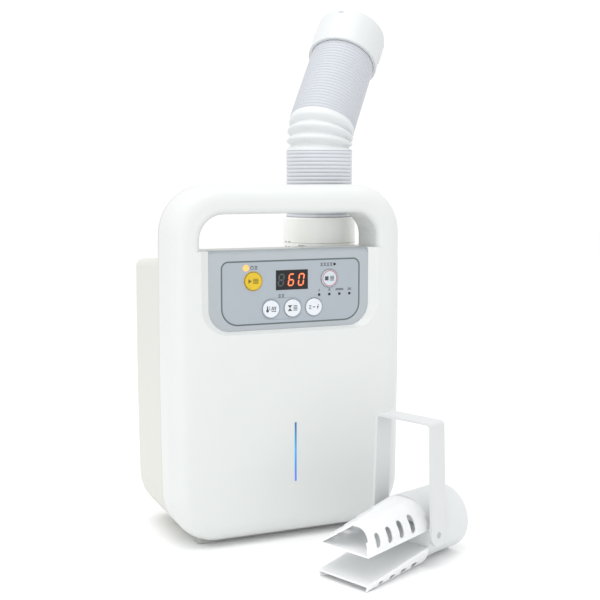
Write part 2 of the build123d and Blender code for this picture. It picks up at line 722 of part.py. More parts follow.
def make_lower_jaw():
    shell = jaw_solid(LOWER_TIP, LOWER_ROOT, 0) - jaw_solid(LOWER_TIP, LOWER_ROOT, NOZZLE_WALL - 0.4)
    shell -= block(-1, 15, -27.5, 27.5, -1, 3)
    for i, x in enumerate(SLOT_X):
        oval = Pos(x + 4, 4.6 + 1.1 * i) * SlotOverall(7 + i, 3.4 + 0.5 * i, rotation=0)
        shell -= upright(oval, -40, -20) + upright(oval, 20, 40)
    return shell


def make_nozzle_collar():
    """The round spigot behind the jaws, with pivot bosses for the bail."""
    along = Plane.YZ.offset(JAW_LEN)
    long = NOZZLE_LEN - JAW_LEN
    collar = extrude(along * (Pos(0, NOZZLE_R) * Circle(NOZZLE_R)), amount=long)
    sleeve = Circle(NOZZLE_R + 1) - Circle(SPIGOT_R)
    collar -= extrude(Plane.YZ.offset(SPIGOT_X) * (Pos(0, NOZZLE_R) * sleeve), amount=long)
    collar = fillet(collar.edges().group_by(Axis.X)[-1], 1.0)
    hollow = Plane.YZ.offset(JAW_LEN + NOZZLE_WALL) * (Pos(0, NOZZLE_R) * Circle(NOZZLE_R - NOZZLE_WALL))
    collar -= extrude(hollow, amount=long)
    for width, flat, round_z, radius in (UPPER_ROOT, LOWER_ROOT):
        way = 1 if round_z > flat else -1
        port = jaw_section(JAW_LEN - 1, width - 6, flat + 3 * way, round_z - 3 * way, radius)
        collar -= extrude(port, amount=5, dir=(1, 0, 0))
    for side in (-1, 1):
        boss = Plane.XZ * (Pos(PIVOT_X, NOZZLE_R) * Circle(7))
        reach = extrude(Pos(0, side * (NOZZLE_R - 3.5), 0) * boss, amount=5.1, dir=(0, side, 0))
        collar += reach
        collar -= extrude(Pos(0, side * 20, 0) * (Plane.XZ * (Pos(PIVOT_X, NOZZLE_R) * Circle(PIN_R))),
                          amount=20, dir=(0, side, 0))
    return collar


def make_bail():
    """A flat strap bent to a stirrup, its arms spread a little at the pivots."""
    low = NOZZLE_R - 11
    spread = BAIL_HALF_LOW
    outer = Polygon((spread, low), (BAIL_HALF_TOP, BAIL_TOP), (-BAIL_HALF_TOP, BAIL_TOP), (-spread, low),
                    align=None)
    outer = fillet([v for v in outer.vertices() if v.Y > 100], 4)
    t = BAIL_T
    inner = Polygon((spread - t, low - 1), (BAIL_HALF_TOP - t, BAIL_TOP - t),
                    (-BAIL_HALF_TOP + t, BAIL_TOP - t), (-spread + t, low - 1), align=None)
    inner = fillet([v for v in inner.vertices() if v.Y > 100], 1.8)
    strap = extrude(Pos(PIVOT_X - 15, 0, 0) * (Plane.YZ * (outer - inner)), amount=30)
    side = Polygon((PIVOT_X - BAIL_SIDE, NOZZLE_R), (PIVOT_X - BAIL_SIDE, BAIL_TOP + 1),
                   (PIVOT_X + BAIL_SIDE, BAIL_TOP + 1), (PIVOT_X + BAIL_SIDE, NOZZLE_R), align=None)
    side += Pos(PIVOT_X, NOZZLE_R) * Circle(BAIL_SIDE)
    strap &= extrude(Plane.XZ * side, amount=60, both=True)
    hole = Plane.XZ * (Pos(PIVOT_X, NOZZLE_R) * Circle(PIN_R + RUN_GAP))
    return strap - extrude(hole, amount=60, both=True)


def make_bail_pins():
    pins = []
    for side in (-1, 1):
        disc = Plane.XZ * (Pos(PIVOT_X, NOZZLE_R) * Circle(PIN_R))
        pin = extrude(Pos(0, side * (NOZZLE_R - 4), 0) * disc, amount=8.5, dir=(0, side, 0))
        pins.append(pin)
    return Compound(children=pins)


# ---- every node, in the dryer's own frame ----
nodes["front_shell"] = make_front_shell()
nodes["rear_shell"] = make_rear_shell()
nodes["foot_strips"] = make_foot_strips()
nodes["case_screws"] = make_case_screws()
nodes["panel_bezel"] = make_panel_bezel()
nodes["membrane_overlay"] = make_overlay()
nodes["display_window"] = make_display_window()
nodes["display_module"] = make_display_module()
for name, (x, z) in BUTTONS.items():
    nodes[name] = make_button(x, z)
nodes["indicator_leds"] = make_indicator_leds()
nodes["power_lamp"] = post(*LAMP_AT, LAMP_R, PANEL_Y - 0.2, PANEL_Y + BEZEL_T + 2)
nodes["control_pcb"] = make_control_pcb()
nodes["tact_switches"] = make_tact_switches()
nodes["pcb_screws"] = make_pcb_screws()
nodes["light_guide"] = make_light_guide()
nodes["light_pcb"] = make_light_pcb()
nodes["partition_plate"] = make_partition_plate()
nodes["power_pcb"] = make_power_pcb()
nodes["power_parts"] = make_power_parts()
nodes["blower_case"] = make_blower_case()
nodes["blower_cover"] = make_blower_cover()
nodes["blower_screws"] = make_blower_screws()
nodes["impeller"] = make_impeller()
nodes["fan_motor"] = make_fan_motor()
nodes["heater_case"] = make_heater_case()
nodes["ptc_heater"] = make_ptc_heater()
nodes["thermal_fuse"] = make_thermal_fuse()
nodes["outlet_duct"] = make_outlet_duct()
nodes["filter_cover"] = make_filter_cover()
nodes["air_filter"] = make_air_filter()
nodes["cord_gland"] = make_cord_gland()
nodes["collar_base"] = make_collar_base()
nodes["collar_ring"] = make_collar_ring()
nodes["hose_lower"] = Pos(HOSE_X, HOSE_Y, COLLAR_SEAM + 0.8) * pleated(STACK_TOP - COLLAR_SEAM - 0.8)
nodes["hose_bend"] = make_hose_bend()
nodes["hose_upper"] = upper_plane.location * pleated(UPPER_LEN + 10)
nodes["hose_cap"] = upper_plane.location * (Pos(0, 0, cap_start) * make_hose_cap())
nozzle = Pos(*NOZZLE_AT, 0) * Rot(0, 0, NOZZLE_TURN)
nodes["nozzle_collar"] = nozzle * make_nozzle_collar()
nodes["upper_jaw"] = nozzle * make_upper_jaw()
nodes["lower_jaw"] = nozzle * make_lower_jaw()
nodes["bail"] = nozzle * make_bail()
nodes["bail_pins"] = nozzle * make_bail_pins()

# ---- the set's middle goes to the origin, and each node to its file ----
whole = Compound(children=[Compound(children=list(shape.solids())) for shape in nodes.values()])
extent = whole.bounding_box()
shift = Pos(-extent.center().X, -extent.center().Y, 0)
for name, shape in nodes.items():
    solids = [shift * solid for solid in shape.solids()]
    export_step(solids[0] if len(solids) == 1 else Compound(children=solids), f"parts/{name}.step")
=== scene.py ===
import json
from math import cos, pi, radians, sin, sqrt, tan
import bmesh
import bpy
from mathutils import Matrix, Vector


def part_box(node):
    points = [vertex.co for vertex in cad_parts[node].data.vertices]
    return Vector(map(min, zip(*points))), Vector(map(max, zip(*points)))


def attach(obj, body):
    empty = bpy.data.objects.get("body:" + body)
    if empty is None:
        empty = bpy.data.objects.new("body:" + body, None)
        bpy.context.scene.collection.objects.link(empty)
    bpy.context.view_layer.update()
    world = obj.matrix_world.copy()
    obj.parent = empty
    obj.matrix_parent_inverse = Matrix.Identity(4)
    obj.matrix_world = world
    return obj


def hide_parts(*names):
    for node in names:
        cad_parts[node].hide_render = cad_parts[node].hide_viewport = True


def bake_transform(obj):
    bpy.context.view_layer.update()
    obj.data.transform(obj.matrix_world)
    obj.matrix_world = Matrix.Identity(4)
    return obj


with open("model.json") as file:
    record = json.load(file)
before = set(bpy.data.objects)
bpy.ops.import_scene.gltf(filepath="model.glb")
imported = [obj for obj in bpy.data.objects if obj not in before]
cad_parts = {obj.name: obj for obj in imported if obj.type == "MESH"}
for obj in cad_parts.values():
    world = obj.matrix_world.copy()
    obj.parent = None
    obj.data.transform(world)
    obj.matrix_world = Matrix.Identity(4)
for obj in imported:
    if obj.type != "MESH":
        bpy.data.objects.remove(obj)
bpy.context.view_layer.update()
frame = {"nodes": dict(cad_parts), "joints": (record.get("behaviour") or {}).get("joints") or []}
MM = 0.001
JOINTS = {joint["name"]: joint for joint in frame["joints"]}

# ---- where the dryer and its hose stand ----
# Sizes below are millimetres in the dryer's own frame: X from its middle, Y back from its
# front face, Z up from the floor. The upper stack's are along its own length.
case_low, case_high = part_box("front_shell")
collar_low, collar_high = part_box("collar_ring")
CASE = Matrix.Translation(((case_low.x + case_high.x) / 2, case_low.y, 0)) @ Matrix.Scale(MM, 4)
SPLIT_Y = (case_high.y - case_low.y) / MM

hose_middle = (collar_low + collar_high) / 2
HOSE = Matrix.Translation((hose_middle.x, hose_middle.y, 0)) @ Matrix.Scale(MM, 4)
COLLAR_TOP = collar_high.z / MM
STACK_TOP = 390.0  # where the lower stack ends and the bend begins
BEND_HALF = 19.0  # from either end of the bend to the point where its axes cross
HOSE_R = 35.3
HOSE_WALL = 1.1
PLEAT = 3.9  # pitch of the closed pleats
PLEAT_DEPTH = 1.25
TIGHT_DEPTH = 0.6  # depth of the upper stack's pleats
POPPED = 3.5  # how many pleats are popped open
OPEN_SHARE = 0.8  # the share of the bend that they take up
POPPED_DEPTH = 4.6
FANNED = 3  # closed pleats in the rest of the bend
SKIRT = 6.0  # how far the bend's ends run into the stacks
OVERLAP = 12.0  # how far the stacks run into the collar and the cap
CAP_START = 82.5  # the cap's lower rim, from the start of the upper stack
bend_axis = Vector(JOINTS["hose_bend"]["axis"])
upper_way = Vector(JOINTS["hose_extend"]["axis"])
bend_point = Vector(JOINTS["hose_bend"]["pos_m"])
BEND = upper_way.angle(Vector((0, 0, 1)))
lean = Vector((upper_way.x, upper_way.y, 0)).normalized()
upper_start = bend_point + upper_way * BEND_HALF * MM


def placed(origin, x_way, z_way):
    """A millimetre frame with its own X and Z directions."""
    y_way = z_way.cross(x_way)
    turn = Matrix((x_way, y_way, z_way)).transposed().to_4x4()
    return Matrix.Translation(origin) @ turn @ Matrix.Scale(MM, 4)


UPPER = placed(upper_start, bend_axis, upper_way)

# ---- materials ----
# Usual refractive indices of the plastics.
ABS_IOR, ACRYLIC_IOR, CARBONATE_IOR = 1.54, 1.49, 1.58
POLYETHYLENE_IOR, POLYPROPYLENE_IOR, EPOXY_IOR = 1.51, 1.49, 1.5


def linear(code):
    """An sRGB hex colour as linear red, green, blue and full opacity."""
    parts = [int(code[i:i + 2], 16) / 255 for i in (0, 2, 4)]
    return [p / 12.92 if p <= 0.04045 else ((p + 0.055) / 1.055) ** 2.4 for p in parts] + [1.0]


def add(tree, kind, inputs, **settings):
    """Adds one node, sets it up, and links or fills its sockets."""
    node = tree.nodes.new(kind)
    for key, value in settings.items():
        setattr(node, key, value)
    for socket, value in inputs.items():
        if isinstance(value, bpy.types.NodeSocket):
            tree.links.new(value, node.inputs[socket])
        else:
            node.inputs[socket].default_value = value
    return node


def empty_material(name):
    material = bpy.data.materials.new(name)
    material.use_nodes = True
    material.node_tree.nodes.clear()
    return material, material.node_tree


def per_metre(size_mm):
    """A texture scale for a pattern that repeats every so many millimetres."""
    return 1.0 / (size_mm * MM)


def surface(name, light, dark, rough, patch_mm, grain_mm, depth_mm, stretch=(1, 1, 1),
            **sockets):
    """A worked surface: two close colours in soft patches, a fine grain that lifts the
    surface by depth_mm, and a roughness that wanders between two values."""
    material, tree = empty_material(name)
    place = add(tree, "ShaderNodeTexCoord", {}).outputs["Object"]
    place = add(tree, "ShaderNodeMapping", {"Vector": place, "Scale": stretch}).outputs["Vector"]
    patch = add(tree, "ShaderNodeTexNoise", {
        "Vector": place, "Scale": per_metre(patch_mm), "Detail": 2.0})
    grain = add(tree, "ShaderNodeTexNoise", {
        "Vector": place, "Scale": per_metre(grain_mm), "Detail": 3.0})
    colour = add(tree, "ShaderNodeMix", {"Factor": patch.outputs["Fac"]}, data_type="RGBA")
    colour.inputs[6].default_value = linear(dark)
    colour.inputs[7].default_value = linear(light)
    worn = add(tree, "ShaderNodeMapRange", {
        "Value": patch.outputs["Fac"], "From Min": 0.3, "From Max": 0.7,
        "To Min": rough[0], "To Max": rough[1]})
    bump = add(tree, "ShaderNodeBump", {
        "Height": grain.outputs["Fac"], "Strength": 1.0, "Distance": depth_mm * MM})
    shader = add(tree, "ShaderNodeBsdfPrincipled", {
        "Base Color": colour.outputs[2], "Roughness": worn.outputs["Result"],
        "Normal": bump.outputs["Normal"], **sockets})
    add(tree, "ShaderNodeOutputMaterial", {"Surface": shader.outputs["BSDF"]})
    return material


def lit_plastic(name, body, glow, strength, grain_mm):
    """Tinted plastic with a lamp behind it, a little uneven where the plastic scatters."""
    material, tree = empty_material(name)
    place = add(tree, "ShaderNodeTexCoord", {}).outputs["Object"]
    grain = add(tree, "ShaderNodeTexNoise", {
        "Vector": place, "Scale": per_metre(grain_mm), "Detail": 1.0})
    colour = add(tree, "ShaderNodeMix", {"Factor": grain.outputs["Fac"]}, data_type="RGBA")
    colour.inputs[6].default_value = linear(glow[0])
    colour.inputs[7].default_value = linear(glow[1])
    shader = add(tree, "ShaderNodeBsdfPrincipled", {
        "Base Color": linear(body), "Roughness": 0.3, "IOR": ACRYLIC_IOR,
        "Emission Color": colour.outputs[2], "Emission Strength": strength})
    add(tree, "ShaderNodeOutputMaterial", {"Surface": shader.outputs["BSDF"]})
    return material


def light_bar(name, low_z, high_z, steps, strength):
    """A clear acrylic bar lit from behind, its colour changing with height."""
    material, tree = empty_material(name)
    place = add(tree, "ShaderNodeTexCoord", {}).outputs["Object"]
    height = add(tree, "ShaderNodeSeparateXYZ", {"Vector": place}).outputs["Z"]
    share = add(tree, "ShaderNodeMapRange", {
        "Value": height, "From Min": low_z * MM, "From Max": high_z * MM})
    ramp = add(tree, "ShaderNodeValToRGB", {"Fac": share.outputs["Result"]})
    bands = ramp.color_ramp.elements
    for i, (at, code) in enumerate(steps):
        band = bands[i] if i < 2 else bands.new(at)
        band.position = at
        band.color = linear(code)
    shader = add(tree, "ShaderNodeBsdfPrincipled", {
        "Base Color": linear("20405C"), "Roughness": 0.18, "IOR": ACRYLIC_IOR,
        "Emission Color": ramp.outputs["Color"], "Emission Strength": strength})
    add(tree, "ShaderNodeOutputMaterial", {"Surface": shader.outputs["BSDF"]})
    return material


def glass_cloth_board(name, mask, copper):
    """Solder-masked epoxy board: green over a faint 1 mm glass weave."""
    material, tree = empty_material(name)
    place = add(tree, "ShaderNodeTexCoord", {}).outputs["Object"]
    weave = add(tree, "ShaderNodeTexChecker", {
        "Vector": place, "Scale": per_metre(1.0),
        "Color1": linear(mask), "Color2": linear(copper)})
    bump = add(tree, "ShaderNodeBump", {
        "Height": weave.outputs["Fac"], "Strength": 0.4, "Distance": 0.03 * MM})
    shader = add(tree, "ShaderNodeBsdfPrincipled", {
        "Base Color": weave.outputs["Color"], "Roughness": 0.35, "Normal": bump.outputs["Normal"]})
    add(tree, "ShaderNodeOutputMaterial", {"Surface": shader.outputs["BSDF"]})
    return material


# White ABS, moulded against a lightly spark-eroded tool: a soft satin with an almost
# invisible 0.5 mm ripple. The real grain is near 0.05 mm, too fine to show.
case_abs = surface("moulded_white_abs", "D8DBDA", "D3D6D5", (0.34, 0.40), 70, 0.5, 0.006,
                   IOR=ABS_IOR)
# The collar rings are painted paler than the case: painted light, lifting the shade that the handle
# casts on them.
collar_abs_painted_paler = surface("white_abs_painted_paler", "F7F8F6", "F2F3F1", (0.34, 0.42), 40, 0.5, 0.006,
                     IOR=ABS_IOR)
# The blower case is the same ABS with a slightly warmer, flatter finish.
rear_abs = surface("moulded_warm_white_abs", "D1D2CC", "CCCDC6", (0.38, 0.46), 70, 0.5, 0.008,
                   IOR=ABS_IOR)
# Light blue-grey ABS tray with an even matt texture.
tray_abs = surface("matt_blue_grey_abs", "ACB3B8", "A6ADB2", (0.42, 0.5), 40, 0.6, 0.012,
                   IOR=ABS_IOR)
# Back-printed polycarbonate film: a fine velvet front over grey ink.
grey_film = surface("velvet_polycarbonate_film", "A4ACB4", "9EA6AE", (0.36, 0.44), 30, 0.5, 0.006,
                    IOR=CARBONATE_IOR)
# Screen-print ink, flat and slightly thicker at its edges: dark grey for the panel's outline
# and charcoal for the marks.
outline_ink = surface("dark_grey_screen_ink", "626E70", "5A6668", (0.5, 0.6), 5, 0.4, 0.004)
mark_ink = surface("charcoal_screen_ink", "4A5056", "40464C", (0.5, 0.6), 5, 0.4, 0.004)
# The hose cap's index mark is only just darker than the cap.
cap_ink = surface("faint_grey_cap_ink", "BCC2C6", "B4BABE", (0.5, 0.6), 5, 0.4, 0.004)
# Mid grey ink for the rings and brackets round the buttons.
pale_ink = surface("mid_grey_screen_ink", "8C969C", "848E94", (0.5, 0.6), 5, 0.4, 0.004)
# A thin dark print that lets the yellow cap through, so it reads olive.
olive_ink = surface("olive_screen_ink", "7A6A14", "6E5E10", (0.5, 0.6), 5, 0.4, 0.004)
# The two signal colours have a touch more gloss than the greys.
red_ink = surface("rose_red_screen_ink", "B84C5C", "AC4050", (0.45, 0.55), 5, 0.4, 0.004)
ochre_ink = surface("ochre_screen_ink", "B49A28", "A88E20", (0.45, 0.55), 5, 0.4, 0.004)
# Button caps of hard ABS, polished by fingers: pearl, silver for stop, yellow for start.
white_cap = surface("satin_pearl_abs_button", "DCE1E6", "D4DAE0", (0.26, 0.36), 6, 0.5, 0.004,
                    IOR=ABS_IOR)
stop_cap = surface("satin_silver_abs_button", "C9D2DA", "C0CAD2", (0.26, 0.36), 6, 0.5, 0.004,
                   IOR=ABS_IOR)
yellow_cap = surface("satin_yellow_abs_button", "DABA18", "CEAC10", (0.26, 0.36), 6, 0.5, 0.004,
                     IOR=ABS_IOR)
# Smoked acrylic display window: near black with a clear polished face.
smoked = surface("smoked_acrylic", "0A0A0C", "060608", (0.06, 0.12), 20, 1.0, 0.001,
                 IOR=ACRYLIC_IOR)
# A lit display segment: red diffuser, glowing a little unevenly.
lit_red = lit_plastic("lit_red_segment", "5A1408", ("FF4A1E", "FF6A38"), 1.35, 1.5)
# The middle of each lit bar is over the lamp itself, so it burns paler.
lit_core = lit_plastic("lit_segment_core", "8A3010", ("FFA468", "FFC08C"), 1.1, 1.5)
# A segment that is off: clear diffuser over an unlit die, grey through the smoke.
unlit = surface("unlit_segment", "4A5056", "40464C", (0.25, 0.35), 4, 0.5, 0.002)
# The power lamp's amber lens, lit from behind.
lamp_amber = lit_plastic("lit_amber_lens", "C07020", ("FFC36E", "FFD694"), 0.85, 1.2)
# Cast epoxy lenses of the lamps that are off, smooth and near black.
led_lens = surface("dark_led_lens", "22282A", "1A2022", (0.15, 0.25), 2, 0.4, 0.002,
                   IOR=EPOXY_IOR)
slit_low, slit_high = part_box("light_guide")
SLIT_MARGIN = 3
slit_light = light_bar(
    "blue_lit_acrylic_bar", slit_low.z / MM + SLIT_MARGIN, slit_high.z / MM - SLIT_MARGIN,
    ((0.0, "6A7CE6"), (1.0, "2A5A9A"), (0.25, "3A86E0"), (0.5, "2AA6E8"), (0.75, "2A8AB4")), 1.0)
# Polyethylene bellows: waxy and slightly blue, roughness from the blow mould.
hose_pe = surface("blow_moulded_grey_pe", "D2D5DA", "CBCED4", (0.40, 0.5), 25, 0.8, 0.01,
                  IOR=POLYETHYLENE_IOR)
# The stack near the cap is squeezed tighter. Its darker grey, also on the bend's closed pleats, is
# painted shade: for the little light that gets in between its pleats, and for the upper hose leaning
# away from the light.
tight_pe_painted_shade = surface("tight_grey_pe_painted_shade", "BFC3C9", "B9BDC3", (0.40, 0.5), 25, 0.8, 0.01,
                   IOR=POLYETHYLENE_IOR)
# The pleats that are popped open are coloured a little paler than the closed ones.
hose_open_pe = surface("open_pleat_pale_pe", "D8DBDC", "D2D5D7", (0.40, 0.5), 25, 0.8, 0.01,
                       IOR=POLYETHYLENE_IOR)
# Moulded polypropylene: brighter and waxier than ABS. The jaws' thin walls glow a little,
# as light passes a few millimetres into the plastic.
GLOW = {"Subsurface Weight": 0.7, "Subsurface Radius": (1.0, 1.0, 1.0),
        "Subsurface Scale": 5 * MM}
nozzle_pp = surface("moulded_white_polypropylene", "E8EAEB", "E4E6E7", (0.33, 0.4), 40, 0.5, 0.006,
                    IOR=POLYPROPYLENE_IOR, **GLOW)
# The nozzle's barrel and the hose cap are thicker and don't glow. The barrel's darker grey is painted
# shade, for its shaded underside.
barrel_pp_painted_shade = surface("barrel_polypropylene_painted_shade", "D6D9DA", "D1D4D5", (0.34, 0.42), 40, 0.5,
                    0.006, IOR=POLYPROPYLENE_IOR)
# The cap's darker grey is painted shade, toning down its top where the lamps light it most.
cap_pp_painted_shade = surface("cap_polypropylene_painted_shade", "D3D6D7", "CED1D2", (0.34, 0.42), 40, 0.5, 0.006,
                 IOR=POLYPROPYLENE_IOR)
# The bail is a flat strap, matted by handling.
strap_pp = surface("moulded_strap_polypropylene", "D2D4D5", "CDCFD0", (0.36, 0.44), 40, 0.5, 0.008,
                   IOR=POLYPROPYLENE_IOR)
# The bail's pins sit a little sunk in their holes; their grey is painted shade of the holes.
pin_pp_painted_shade = surface("pin_polypropylene_painted_shade", "B2B8B8", "A6ACAC", (0.45, 0.55), 6, 0.5, 0.01)
# Thermoplastic rubber feet: grey and dusty, with a coarse bite.
foot_rubber = surface("grey_thermoplastic_rubber", "B4B6B4", "A4A6A4", (0.7, 0.85), 12, 0.6, 0.03)
# The joint between the case halves: ABS in its own shade, so a flat grey.
seam_shadow = surface("seam_shadow_grey", "B9BCBA", "B2B5B3", (0.6, 0.7), 10, 0.5, 0.004)
# Zinc-plated steel screws, with faint turning marks round the head.
zinc = surface("zinc_plated_steel", "B8BCC0", "A2A8AE", (0.28, 0.42), 3, 0.3, 0.006, Metallic=1.0)
# Galvanised motor can, drawn lengthwise.
steel = surface("drawn_galvanised_steel", "A8ACB0", "92989E", (0.3, 0.45), 8, 0.5, 0.01,
                (6, 1, 6), Metallic=1.0)
# Bare aluminium fins with the dull skin of an extrusion.
fins = surface("extruded_aluminium", "C4C6C4", "AEB0B0", (0.35, 0.5), 6, 0.5, 0.01,
               (6, 6, 1), Metallic=1.0)
# Glass-filled heat-proof plastic: tan, with fibres that mat the surface.
heat_resin = surface("glass_filled_tan_resin", "8A6A44", "745836", (0.5, 0.65), 4, 0.5, 0.03)
# Glass-filled nylon of the blower's case: black and a little rough.
black_nylon = surface("black_glass_filled_nylon", "2A2C2E", "202224", (0.45, 0.6), 6, 0.5, 0.02)
# The fan wheel is unfilled nylon, dark grey and smoother.
wheel_nylon = surface("dark_grey_fan_nylon", "4A4E52", "3E4246", (0.4, 0.5), 8, 0.6, 0.015)
# Moulded epoxy of the boards' components: black with a fine matt skin.
component_epoxy = surface("black_component_epoxy", "26282A", "1C1E20", (0.35, 0.5), 5, 0.4, 0.015)
# Woven nylon filter cloth, 0.8 mm between threads.
filter_cloth = surface("woven_grey_nylon", "6C7276", "50565A", (0.7, 0.85), 2, 0.8, 0.12)
# Circuit boards: green solder mask over glass cloth.
board = glass_cloth_board("green_epoxy_board", "14603A", "1A6C42")

FINISHES = {
    case_abs: ("front_shell",), collar_abs_painted_paler: ("collar_base", "collar_ring"),
    rear_abs: ("rear_shell", "partition_plate", "filter_cover", "cord_gland"),
    tray_abs: ("panel_bezel",), grey_film: ("membrane_overlay",), smoked: ("display_window",),
    white_cap: ("temperature_button", "time_button", "mode_button"), stop_cap: ("stop_button",),
    yellow_cap: ("start_button",), lamp_amber: ("power_lamp",), led_lens: ("indicator_leds",),
    slit_light: ("light_guide",), hose_pe: ("hose_lower", "hose_bend", "hose_upper"),
    cap_pp_painted_shade: ("hose_cap",), barrel_pp_painted_shade: ("nozzle_collar",), nozzle_pp: ("upper_jaw", "lower_jaw"),
    strap_pp: ("bail",), pin_pp_painted_shade: ("bail_pins",), foot_rubber: ("foot_strips",),
    zinc: ("case_screws", "pcb_screws", "blower_screws"), steel: ("fan_motor",), fins: ("ptc_heater",),
    heat_resin: ("heater_case", "outlet_duct"), black_nylon: ("blower_case", "blower_cover"),
    wheel_nylon: ("impeller",), filter_cloth: ("air_filter",),
    component_epoxy: ("display_module", "tact_switches", "power_parts", "thermal_fuse"),
    board: ("control_pcb", "light_pcb", "power_pcb"),
}
for material, members in FINISHES.items():
    for member in members:
        node = frame["nodes"][member]
        node.data.materials.clear()
        node.data.materials.append(material)


# ---- mesh building ----
SHARP_ANGLE = radians(38)


def piece(name, points, faces, place, material, slot, body=None, smooth=True):
    """A new piece from points in millimetres, put in place and given to a body."""
    mesh = bpy.data.meshes.new(name)
    mesh.from_pydata([place @ Vector(p) for p in points], [], faces)
    tidy = bmesh.new()
    tidy.from_mesh(mesh)
    bmesh.ops.recalc_face_normals(tidy, faces=tidy.faces)
    tidy.to_mesh(mesh)
    tidy.free()
    mesh.materials.append(material)
    made = bpy.data.objects.new(name, mesh)
    bpy.context.scene.collection.objects.link(made)
    for face in mesh.polygons:
        face.use_smooth = smooth
    if smooth:
        mesh.set_sharp_from_angle(angle=SHARP_ANGLE)
    if body:
        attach(made, body)
    return made


def grid_faces(rows, columns):
    """Faces of a closed ring of rows, each row a closed ring of points."""
    faces = []
    for i in range(rows):
        below, above = i * columns, (i + 1) % rows * columns
        for j in range(columns):
            k = (j + 1) % columns
            faces.append((below + j, below + k, above + k, above + j))
    return faces


def lathe(profile, columns=96):
    """Points and faces of a closed half section turned about Z."""
    points = []
    for radius, height in profile:
        for j in range(columns):
            turn = 2 * pi * j / columns
            points.append((radius * cos(turn), radius * sin(turn), height))
    return points, grid_faces(len(profile), columns)


def rounded(x0, x1, z0, z1, top_r, low_r, steps=10):
    """A rectangle with one radius at its top corners and one at its bottom."""
    points = []
    corners = ((x1, z1, top_r, 0), (x0, z1, top_r, 90),
               (x0, z0, low_r, 180), (x1, z0, low_r, 270))
    for x, z, radius, start in corners:
        cx = x - radius if x == x1 else x + radius
        cz = z - radius if z == z1 else z + radius
        for i in range(steps + 1):
            turn = radians(start + 90 * i / steps)
            points.append((cx + radius * cos(turn), cz + radius * sin(turn)))
    return points


def disc(x, z, radius, steps=40):
    return [(x + radius * cos(2 * pi * i / steps), z + radius * sin(2 * pi * i / steps))
            for i in range(steps)]


def bar(x, z, width, height, slant=0.0):
    """A small upright rectangle, sheared by slant millimetres from bottom to top."""
    w, h, s = width / 2, height / 2, slant / 2
    return [(x - w - s, z - h), (x + w - s, z - h), (x + w + s, z + h), (x - w + s, z + h)]


def plates(outlines, front, back):
    """Flat outlines in X and Z made into thin plates. front(x, z) gives the face's depth."""
    points, faces = [], []
    for outline in outlines:
        count, first = len(outline), len(points)
        points += [(x, front(x, z), z) for x, z in outline]
        points += [(x, front(x, z) + back, z) for x, z in outline]
        faces.append(tuple(range(first, first + count)))
        faces.append(tuple(range(first + 2 * count - 1, first + count - 1, -1)))
        for i in range(count):
            j = (i + 1) % count
            faces.append((first + i, first + count + i, first + count + j, first + j))
    return points, faces


def frames(pairs, front, back):
    """Rings between an outer and an inner outline with as many points, as thin plates."""
    points, faces = [], []
    for outer, inner in pairs:
        count, first = len(outer), len(points)
        for outline, deeper in ((outer, 0), (inner, 0), (inner, back), (outer, back)):
            points += [(x, front(x, z) + deeper, z) for x, z in outline]
        faces += [tuple(first + v for v in face) for face in grid_faces(4, count)]
    return points, faces


# ---- hose ----
# Depth of a closed pleat below its ridge, as a share, at places along one pleat.
PLEAT_FORM = ((0.0, 1.0), (0.07, 0.6), (0.18, 0.22), (0.34, 0.03), (0.5, 0.0),
              (0.66, 0.03), (0.82, 0.22), (0.93, 0.6))


def closed_pleats(length, groove):
    """Half a section of closed pleats: broad round ridges with narrow grooves between."""
    count = round(length / PLEAT)
    step = length / count
    outside = [(HOSE_R - groove * depth, step * (i + share))
               for i in range(count) for share, depth in PLEAT_FORM]
    outside.append((HOSE_R - groove, length))
    inside = []
    for i in range(count):
        inside += [(HOSE_R - groove - HOSE_WALL, length - step * i),
                   (HOSE_R - HOSE_WALL, length - step * (i + 0.5))]
    inside.append((HOSE_R - groove - HOSE_WALL, 0))
    return outside + inside


lower_from = COLLAR_TOP - OVERLAP
lower = lathe(closed_pleats(STACK_TOP - lower_from, PLEAT_DEPTH))
lower_stack = piece("hose_lower_pleats", *lower, HOSE @ Matrix.Translation((0, 0, lower_from)),
                    hose_pe, "hose_grey", "hose_base")
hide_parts("hose_lower")

upper = lathe(closed_pleats(CAP_START + OVERLAP, TIGHT_DEPTH))
upper_stack = piece("hose_upper_pleats", *upper, UPPER, tight_pe_painted_shade, "hose_grey")
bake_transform(upper_stack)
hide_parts("hose_upper")


def bent_tube(start, stop, radii, skirt_low=None, skirt_high=None, columns=96):
    """A corrugated tube round the bend, from one share of its turn to another. A skirt
    runs on straight, inside the stack next to it, so that no gap opens when it bends."""
    curve = BEND_HALF / tan(BEND / 2)
    last = len(radii) - 1
    rows = [(BEND * (start + (stop - start) * i / last), 0, radius)
            for i, radius in enumerate(radii)]
    if skirt_low:
        rows = [(0, -SKIRT, skirt_low), (0, -0.4, skirt_low)] + rows
    if skirt_high:
        rows += [(BEND, 0.4, skirt_high), (BEND, SKIRT, skirt_high)]
    points = []
    for wall, course in ((0, rows), (HOSE_WALL, rows[::-1])):
        for turn, beyond, radius in course:
            size = radius - wall
            for j in range(columns):
                around = 2 * pi * j / columns
                reach = curve - size * cos(around)
                spot = lean * (curve - reach * cos(turn) + beyond * sin(turn))
                spot += bend_axis * size * sin(around)
                up = STACK_TOP + reach * sin(turn) + beyond * cos(turn)
                points.append((spot.x, spot.y, up))
    return points, grid_faces(2 * len(rows), columns)


def open_radii(rows=12):
    """Pleats popped open, from a ridge of the closed stack up to a groove of the next."""
    radii = []
    for i in range(int(rows * POPPED) + 1):
        ridge = (0.5 + 0.5 * cos(2 * pi * i / rows)) ** 0.8
        depth = POPPED_DEPTH if i < rows * int(POPPED) else TIGHT_DEPTH
        radii.append(HOSE_R - depth * (1 - ridge))
    return radii


